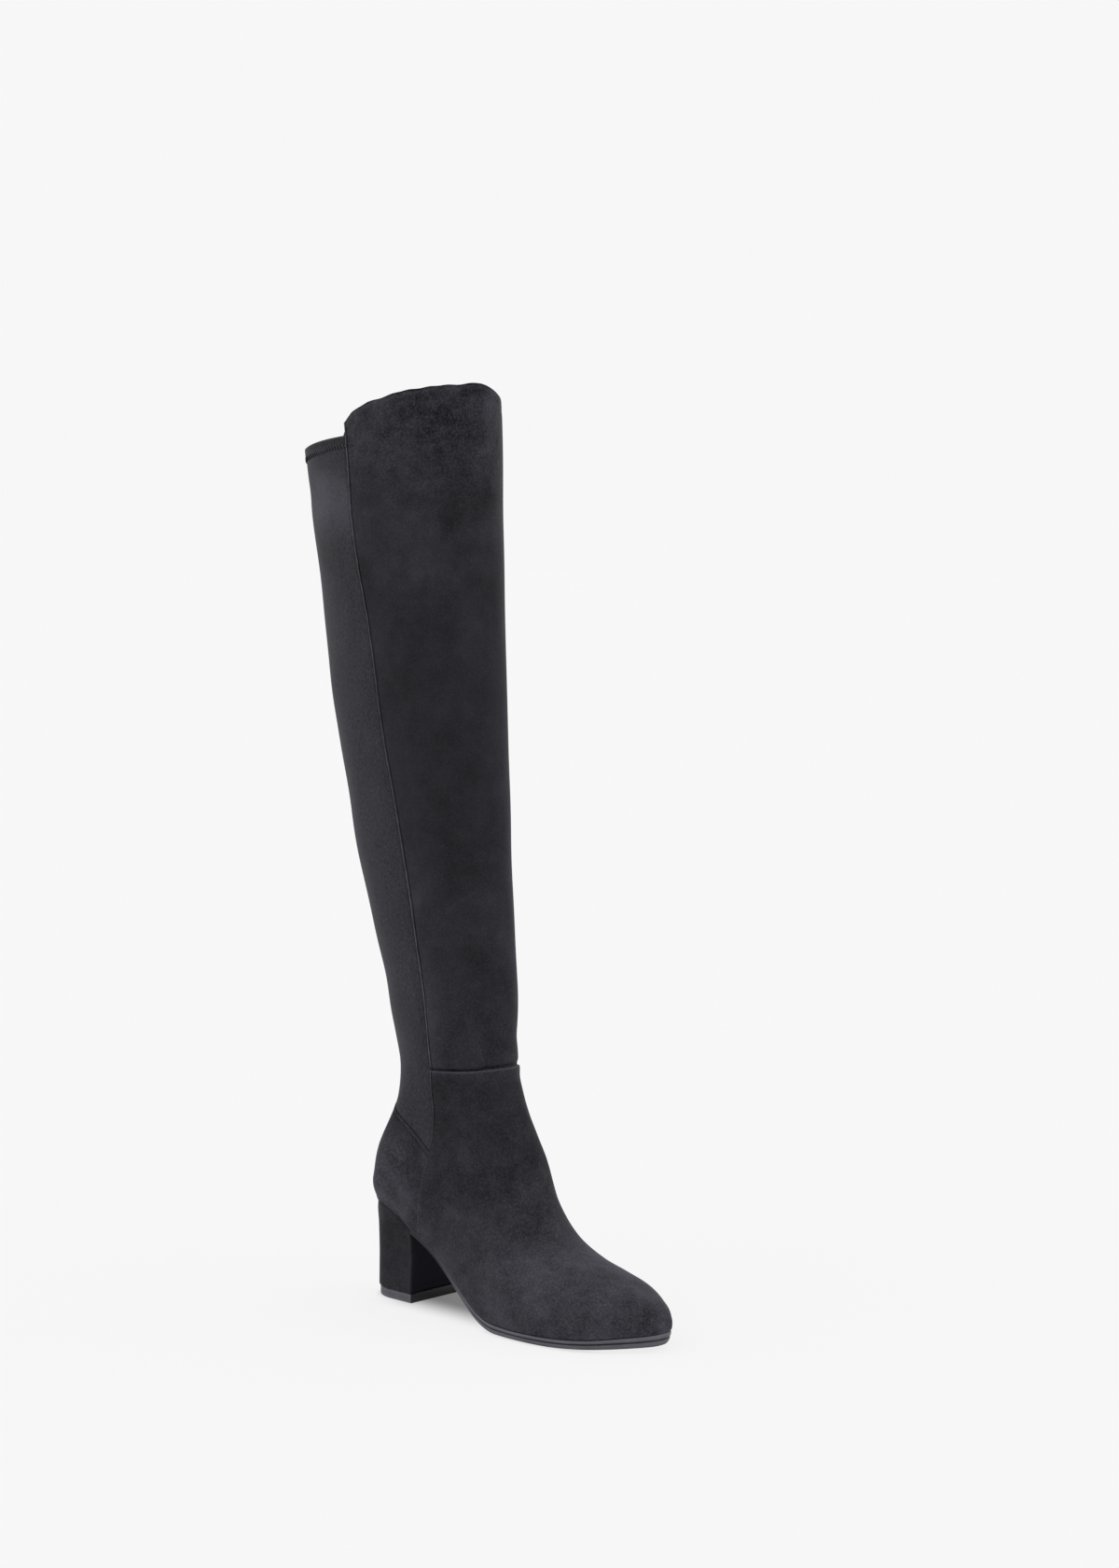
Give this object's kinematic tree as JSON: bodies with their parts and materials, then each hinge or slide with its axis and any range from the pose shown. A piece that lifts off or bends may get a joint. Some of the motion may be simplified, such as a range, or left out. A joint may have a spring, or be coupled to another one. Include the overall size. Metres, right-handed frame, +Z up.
{
  "type": "over-the-knee boot",
  "caption": "Right over-the-knee boot: suede front and heel counter, stretch back panel, inner side zip with a swinging pull tab, covered block heel.",
  "frame": {"origin": "the middle of the heel's ground face", "axes": "+X to the toe, +Y to the wearer's left, the inner side with the zip, +Z up the shaft"},
  "size_m": [0.3068, 0.1046, 0.6016],
  "materials": {
    "suede": "napped suede, charcoal black",
    "stretch": "matt stretch microfibre, charcoal",
    "rubber": "black, satin",
    "board": "dark insole sock over board",
    "tape": "black woven tape",
    "dark_metal": "dark gunmetal"
  },
  "bodies": {
    "boot": {"upper": "suede", "back_panel": "stretch", "heel": "suede", "top_piece": "rubber", "outsole": "rubber", "insole": "board", "zip_tape": "tape", "zip_chain": "dark_metal", "zip_slider": "dark_metal"},
    "pull_tab": {"zip_pull": "dark_metal"}
  },
  "joints": [
    {"name": "zip_pull_hinge", "type": "hinge", "parent": "boot", "child": "pull_tab", "pos_m": [0.03542, 0.0413, 0.27889], "axis": [0.975, -0.1267, 0.1828], "range_deg": [-6, 165]}
  ]
}
